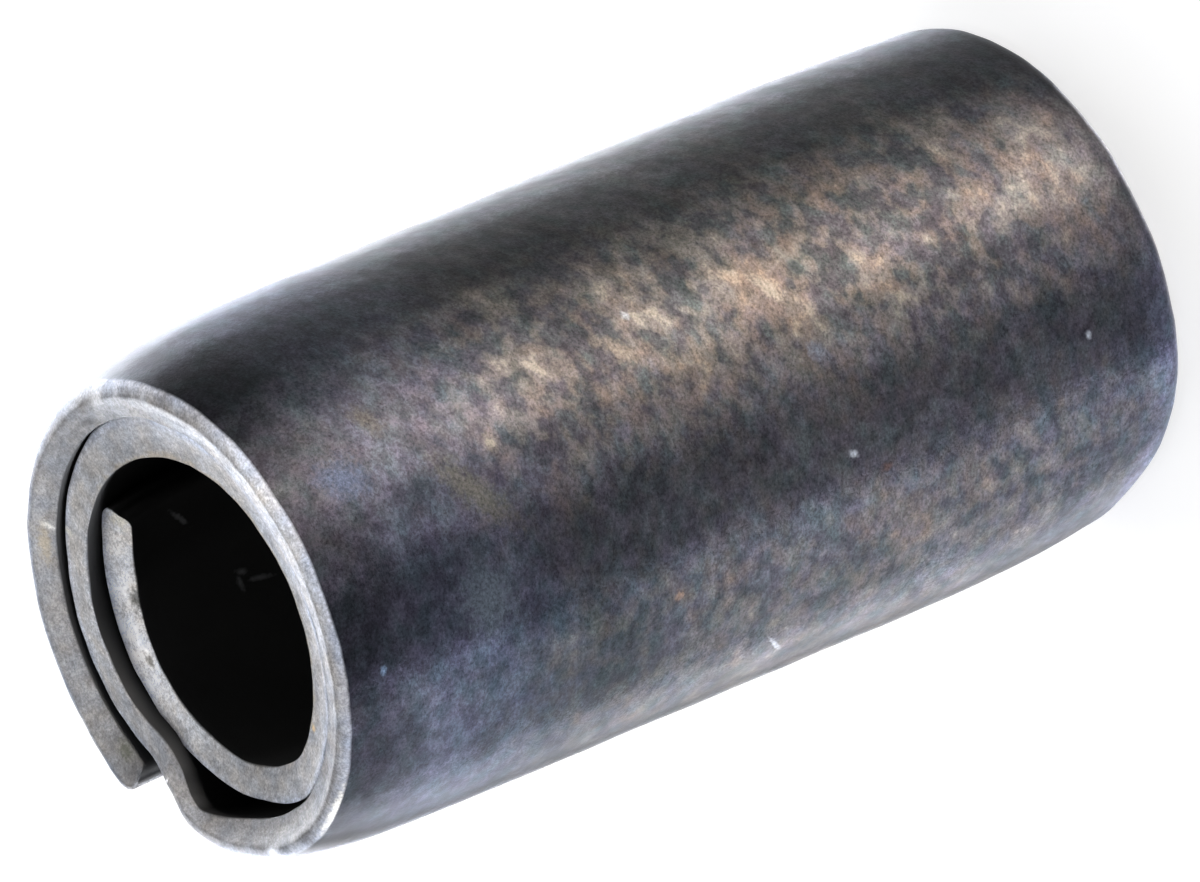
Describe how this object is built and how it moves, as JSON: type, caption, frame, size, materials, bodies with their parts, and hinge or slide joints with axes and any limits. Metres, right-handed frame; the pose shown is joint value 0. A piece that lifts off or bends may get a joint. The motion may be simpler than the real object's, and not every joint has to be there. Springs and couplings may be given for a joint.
{
  "type": "coiled spring pin",
  "caption": "Short round pin coiled from spring steel strip, with an open joggled seam and swaged lead at each end, driven into a drilled hole to fasten or locate parts.",
  "frame": {"origin": "centre of the lower end of the pin, on its axis, in the plane that it stands on", "axes": "+Z along the pin's axis, up from the end it stands on; going inwards the strip winds clockwise as seen from +Z, and the open seam runs along the pin at about 130 degrees from +X"},
  "size_m": [0.0032, 0.0032, 0.0062],
  "materials": {
    "spring_steel": "black oxide over spring steel, satin, with bare sheared ends"
  },
  "bodies": {
    "root": {"coiled_pin": "spring_steel"}
  },
  "joints": []
}
